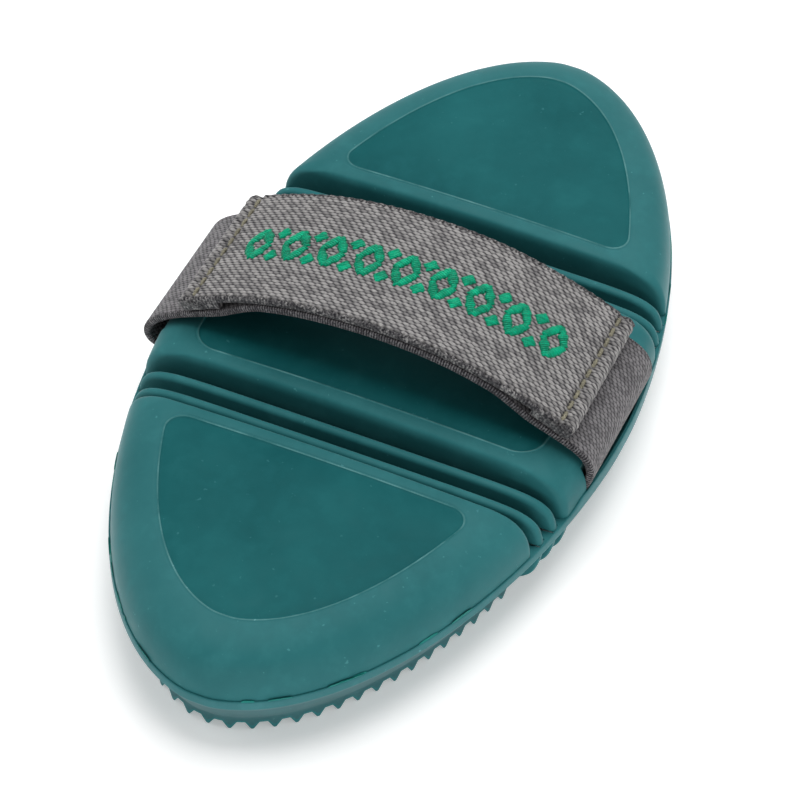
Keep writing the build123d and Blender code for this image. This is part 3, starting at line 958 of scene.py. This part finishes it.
def webbing(name, cloth, dark, mid, light):
    """Woven polyester: the floats painted light and the gaps between them painted dark by the weave's height,
    a painted shade, crossed by fine fibres.
    """
    look = Look(name)
    along, across, shade = (look.stored(key) for key in ("along", "across", "shade"))
    place = look.node("CombineXYZ", X=along * 0.35, Y=across * 2.0)
    fibre = look.noise(5.0, 3, 0.7, place.outputs["Vector"])
    past_body = (across.step("ABSOLUTE") - (cloth.half - 0.62)) * 4.0
    edge = past_body.step("MINIMUM", 1.0).step("MAXIMUM", 0.0)
    tick = Maths.cos(along * (2 * math.pi / cloth.tick)) * cloth.tick_depth + 0.5
    lumps = Value(look.tree, look.noise(2300, 2)) * 2.2 - 1.1
    height = weave(along, across, cloth, Maths) * (1 - edge) + (tick + lumps) * edge
    # Colour from the weave's height: darker where the threads dip and between the loops along the edges, a
    # painted shade, times each float's own tone.
    lightness = height * (float_tone(along, across, cloth, Maths) * 0.42 + 0.74)
    colour = look.ramp(lightness, (0.12, dark), (0.52, mid), (0.98, light))
    streaked = look.times(colour, look.ramp(fibre, (0.3, 0.62), (0.7, 1.3)))
    patched = look.times(streaked, look.ramp(look.noise(190, 4), (0.3, 0.96), (0.7, 1.04)))
    return look.finished(
        Base_Color=look.times(patched, shade), Roughness=look.ramp(fibre, (0.2, 0.66), (0.8, 0.86)),
        Normal=look.bump(fibre, 0.5, 0.00006, look.bump(height, 0.75, 0.00016)),
        Sheen_Weight=0.12, Sheen_Roughness=0.5, Specular_IOR_Level=0.25,
    )


def thread(name, dark, light, rough, sheen, ridged=False, shine=0.3):
    """Spun thread: fine strands, light and dark. A ridged one takes from the mesh each thread's tone with its
    painted highlight and shade.
    """
    look = Look(name)
    strand = look.noise(3800, 3, 0.65)
    if ridged:
        tone = look.stored("lightness") * 0.6 + Value(look.tree, strand) * 0.75
        colour = look.ramp(tone, (0.42, dark), (1.0, light))
    else:
        colour = look.ramp(strand, (0.3, dark), (0.7, light))
    return look.finished(
        Base_Color=look.times(colour, look.ramp(look.noise(520, 3), (0.3, 0.75), (0.7, 1.15))),
        Roughness=look.ramp(strand, (0.2, rough - 0.08), (0.8, rough + 0.1)),
        Normal=look.bump(strand, 0.5, 0.00004), Sheen_Weight=sheen, Specular_IOR_Level=shine,
    )


def floor_material():
    look = Look("studio_floor")
    return look.finished(
        Base_Color=look.ramp(look.noise(6, 3), (0.3, 0.86), (0.7, 0.9)),
        Roughness=0.9, Emission_Color=(1, 1, 1, 1), Emission_Strength=0.3,
    )


# The moulding's materials, in the order of the slots that its faces name
KINDS = [
    rubber("rubber", (0.012, 0.116, 0.125), (0.023, 0.152, 0.162), 0.6, 0.2, 0.6),
    rubber("rubber_panel", (0.002, 0.076, 0.083), (0.008, 0.112, 0.119), 0.55, 0.03, 0.5, 0.08),
    # The bead's pale tone is a painted highlight along the panel's edge.
    rubber("rubber_bead_painted_highlight", (0.010, 0.110, 0.116), (0.090, 0.250, 0.255), 0.6, 0.1, 1.0, patch=130),
    rubber("rubber_flash", (0.004, 0.15, 0.135), (0.008, 0.21, 0.18), 0.55, 0.05, 0.3),
    # The rim's lighter tones are painted light on the outer band and its lower edge.
    rubber("rubber_rim_painted_light", (0.024, 0.135, 0.146), (0.040, 0.170, 0.182), 0.6, 0.2, 0.8),
    # The skirt's darker, greyer tones are painted shade with a grey painted sheen.
    rubber("rubber_skirt_painted_shade_and_sheen", (0.022, 0.094, 0.102), (0.034, 0.118, 0.128), 0.6, 0.12, 1.0),
]
OVERLAY_CLOTH = webbing(
    "overlay_webbing", OVERLAY_WEAVE, (0.008, 0.007, 0.011), (0.074, 0.071, 0.075), (0.315, 0.305, 0.30)
)
BASE_CLOTH = webbing(
    "base_webbing", BASE_WEAVE, (0.008, 0.007, 0.011), (0.058, 0.055, 0.060), (0.19, 0.183, 0.19)
)
SEAM_THREAD = thread("seam_thread", (0.09, 0.083, 0.055), (0.31, 0.29, 0.21), 0.6, 0.05)
GREEN_THREAD = thread("embroidery_thread", (0.0, 0.07, 0.036), (0.0, 0.50, 0.265), 0.34, 0.0, True, 0.15)


# ---- Camera, light and floor

def camera():
    """The camera of the reference view: from the rear left, well above, with a long lens."""
    back = Vector((-0.6476, -0.2570, 0.7174)).normalized()
    right = Vector((0.3688, -0.9295, 0.0)).normalized()
    up = back.cross(right)
    roll = math.radians(2.75)
    turned = right * math.cos(roll) + up * math.sin(roll)
    upright = up * math.cos(roll) - right * math.sin(roll)
    data = bpy.data.cameras.new("camera")
    data.lens = 164.0
    data.sensor_width = 36.0
    data.clip_start = 0.01
    made = placed("camera", data)
    made.matrix_world = Matrix.Translation(Vector((0, 0, 0.0031)) + back * 0.680) @ Matrix(
        (turned, upright, back)
    ).transposed().to_4x4()
    bpy.context.scene.camera = made


# Name: (place, what it aims at, its two sides, power)
LIGHTS = {
    "key": ((0.2, 0.03, 0.8), (0, 0, 0.01), (0.6, 0.7), 6.2),
    "left": ((-0.1, 0.8, 0.35), (0, 0, 0.01), (0.7, 0.3), 2.3),
    "right": ((0.1, -0.8, 0.35), (0, 0, 0.01), (0.7, 0.3), 1.5),
    "far": ((0.8, 0.05, 0.3), (0.03, 0, 0.01), (0.7, 0.3), 0.9),
    "low_rear": ((-0.75, -0.3, 0.08), (-0.05, 0, 0.005), (0.8, 0.14), 2.4),
}


def studio():
    """Five soft lights, a dim white surround and a pale floor."""
    for name, (place, aim, size, energy) in LIGHTS.items():
        data = bpy.data.lights.new(name, "AREA")
        data.shape = "RECTANGLE"
        data.size, data.size_y = size
        data.energy = energy
        made = placed(name, data)
        made.location = place
        made.rotation_mode = "QUATERNION"
        made.rotation_quaternion = (Vector(aim) - Vector(place)).to_track_quat("-Z", "Y")
    world = bpy.data.worlds.new("studio")
    bpy.context.scene.world = world
    world.use_nodes = True
    background = world.node_tree.nodes["Background"].inputs
    background["Color"].default_value = (1, 1, 1, 1)
    background["Strength"].default_value = 0.2
    mesh = bpy.data.meshes.new("floor")
    work = bmesh.new()
    bmesh.ops.create_grid(work, x_segments=8, y_segments=8, size=2.0)
    work.to_mesh(mesh)
    work.free()
    mesh.materials.append(floor_material())
    placed("floor", mesh)
    view = bpy.context.scene.view_settings
    view.view_transform = "Standard"
    view.look = "None"


# ---- The comb

def mirrored(shape, sign):
    """A shape for the front (+1) or rear (-1) half."""
    verts, *rest = shape
    return (verts * [sign, 1, 1], *rest)


def cut_with(obj, cutter):
    """Takes the cutter's shape out of obj."""
    change = obj.modifiers.new("slot", "BOOLEAN")
    change.operation = "DIFFERENCE"
    change.solver = "EXACT"
    change.object = cutter
    graph = bpy.context.evaluated_depsgraph_get()
    mesh = bpy.data.meshes.new_from_object(obj.evaluated_get(graph))
    obj.modifiers.clear()
    obj.data = mesh
    tidy_normals(obj)


def prism(outline, low, high, axis):
    """A closed outline drawn out along X (axis 0) or Z (axis 2), from low to high."""
    n = len(outline)
    ends = [np.insert(outline, axis, value, axis=1) for value in (low, high)]
    return np.vstack(ends), tube_faces(2, n)


def slot_cutters():
    """What the straps' slots take out: the strap's path with clearance, and all outside it above the lips."""
    route = base_route()
    half = WEBBING / 2 + SLOT_CLEARANCE
    width = STRAP_HALF + 2 * SLOT_CLEARANCE
    side_at = STRAP_ARCH[0][0]
    cutters = []
    for side in (1, -1):
        low_part = (route.points[:, 1] < 24.0) & (route.points[:, 0] * side > 0)
        line = Route(route.points[low_part][::2])
        outer, inner = (np.column_stack(line.at(line.along, n)) for n in (half, -half))
        cutters.append(prism(np.vstack([outer, inner[::-1]]), -width, width, 0))
        x = np.linspace(-width, width, 41)
        lip = side_y(np.abs(x), LIP_WALL)
        gap = np.vstack([np.column_stack([x, lip]), [[width, side_at - 0.5], [-width, side_at - 0.5]]])
        mouth = np.array([[-width, side_at], [-width, 60.0], [width, 60.0], [width, side_at]])
        cutters.append(prism(gap * [1, side], RIM_TOP - 2.6, 30.0, 2))
        cutters.append(prism(mouth * [1, side], RIM_TOP + LIP_HEIGHT, 30.0, 2))
    return [mesh_object("slot_cutter", verts, faces, []) for verts, faces in cutters]


def flash_shape(start, end, count):
    """Torn bits of moulding flash standing on the rim's edge, between two angles of the oval."""
    shapes = []
    for centre in rng.uniform(start, end, count):
        length = rng.uniform(0.006, 0.045)
        angle = np.linspace(centre - length, centre + length, 15)
        bulge = np.sqrt(np.maximum(1 - np.linspace(-1, 1, 15) ** 2, 0))
        height = 0.05 + bulge * rng.uniform(0.1, 0.5) * rng.uniform(0.5, 1.0, 15)
        lean = rng.uniform(-0.1, 0.25)
        low, high = RIM_TOP - 0.2, RIM_TOP + height
        profile = ((0.34, low), (0.30 - lean, high), (0.18 - lean, high), (0.1, low))
        rows = [oval_row(angle, inset, z) for inset, z in profile]
        shapes.append((np.concatenate(rows), sweep_faces(4, 15)))
    return collected(shapes)


def part(name, shape):
    """A piece of the moulding, from its points, its faces and, if given, their materials."""
    verts, faces, *slots = shape
    return mesh_object(name, verts, faces, KINDS, *slots)


def strip(name, base, sign, span):
    """Deck, rim and skirt between two places along the comb, cut off level just above the underside."""
    low, high = sorted(sign * x for x in span)
    return cut_piece(name, base, between(low, high) + [((0, 0, DECK_LAP), (0, 0, -1))], KINDS)


def angle_at(x, inset):
    """Angle of an oval's point at a distance along the comb."""
    c = x / (HALF_LENGTH - inset)
    return math.atan2((1 - c ** OVAL_POWER) ** (1 / OVAL_POWER), c)


def centre_moulding(base):
    deck = cut_piece("centre_deck", base, between(-CENTRE_END, CENTRE_END), KINDS)
    pad = part("centre_cap", pad_shape(0.0, 1100, CENTRE_END, CENTRE_PANEL, 0))
    for cutter in slot_cutters():
        cut_with(deck, cutter)
        cut_with(pad, cutter)
        bpy.data.objects.remove(cutter)
    parts = [pad, deck]
    for inset in INNER_RINGS:
        reach = angle_at(CENTRE_END - 0.3, inset)
        for start, end in ((reach, math.pi - reach), (reach - math.pi, -reach)):
            parts.append(part("wall", ring_wall_shape(inset, start, end)))
    for sign in (1, -1):
        ridge = plate(ridge_outline(CENTRE_END - 1), sign * (CENTRE_END - 1.05), 1.0, 0.42)
        parts.append(part("ridge", ridge))
    obj = joined(parts, "centre_pad_rubber")
    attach(obj, "root")
    return obj


def end_moulding(base, side, sign):
    low, high = sorted((sign * END_START, sign * (HALF_LENGTH + 5)))
    deck = cut_piece("end_deck", base, between(low, high), KINDS)
    pad = part("end_cap", mirrored(pad_shape(END_PAD_CENTRE, 1000, END_START, END_PANEL, 1), sign))
    torn = mirrored(flash_shape(-1.25, 1.25, 20), sign)
    parts = [pad, deck, part("flash", (*torn, [3] * len(torn[1])))]
    for inset in INNER_RINGS:
        limit = angle_at(END_START + 0.3, inset + RING_WALL)
        parts.append(part("wall", mirrored(ring_wall_shape(inset, -limit, limit), sign)))
    obj = joined(parts, f"{side}_end_rubber")
    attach(obj, f"{side}_end")
    return obj


def rib_moulding(base, side, sign, which, span):
    middle = (span[0] + span[1]) / 2
    half = (span[1] - span[0]) / 2
    deck = strip("rib_deck", base, sign, span)
    crest = plate(crest_outline(middle), sign * middle, half, np.minimum(half * 0.9, 0.9))
    ridge = plate(ridge_outline(middle), sign * middle, half, 0.42)
    obj = joined([part("crest", crest), deck, part("ridge", ridge)], f"{side}_{which}_rib_rubber")
    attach(obj, f"{side}_{which}_rib")
    return obj


def web_strip(base, side, sign, which, span):
    obj = strip(f"{side}_{which}_web_rubber", base, sign, span)
    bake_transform(obj)
    return obj


def stands_for(node):
    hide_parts(node)


def build_rubber():
    base = base_shape()
    made = {"centre_pad": centre_moulding(base)}
    for side, sign in (("front", 1), ("rear", -1)):
        made[f"{side}_end_pad"] = end_moulding(base, side, sign)
        inner, outer, end = f"{side}_inner_rib", f"{side}_outer_rib", f"{side}_end"
        made[inner] = rib_moulding(base, side, sign, "inner", INNER_RIB)
        made[outer] = rib_moulding(base, side, sign, "outer", OUTER_RIB)
        spans = {
            "inner": ((CENTRE_END, INNER_RIB[0]), ("root", inner)),
            "middle": ((INNER_RIB[1], OUTER_RIB[0]), (inner, outer)),
            "outer": ((OUTER_RIB[1], END_START), (outer, end)),
        }
        for which, (span, bodies) in spans.items():
            made[f"{side}_{which}_web"] = web_strip(base, side, sign, which, span)
    for node, obj in made.items():
        stands_for(node)


def build_strap():
    low = base_route()
    strap = band_object("base_strap_webbing", low, TAIL_FOLD, 1, BASE_WEAVE, BASE_CLOTH, sway=BASE_SWAY)
    stands_for("base_strap")

    top = overlay_route()
    rows = (STITCH_INSET - WEBBING, top.length - STITCH_INSET + WEBBING)
    relief = overlay_relief(rows)
    band = band_object("overlay_band_webbing", top, FOLD, -1, OVERLAY_WEAVE, OVERLAY_CLOTH, relief)
    stands_for("overlay_band")

    on_band, on_tail = WEBBING / 2 - STITCH_SUNK, 1.5 * WEBBING + TAIL_STITCH_LIFT
    seams = []
    for name, route, s, count, lift in (
        ("left_stitch_row", top, rows[0], STITCHES, on_band),
        ("right_stitch_row", top, rows[1], STITCHES, on_band),
        ("left_tail_stitches", low, TAIL_FOLD / 2, TAIL_STITCHES, on_tail),
        ("right_tail_stitches", low, low.length - TAIL_FOLD / 2, TAIL_STITCHES, on_tail),
    ):
        seams.append(stitch_row(f"{name}_thread", route, s, count, lift))
        stands_for(name)
    motif = embroidery(top)
    stands_for("embroidery")
    for obj in (strap, band, *seams, motif):
        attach(obj, "root")


camera()
studio()
build_rubber()
build_strap()

bpy.context.view_layer.update()
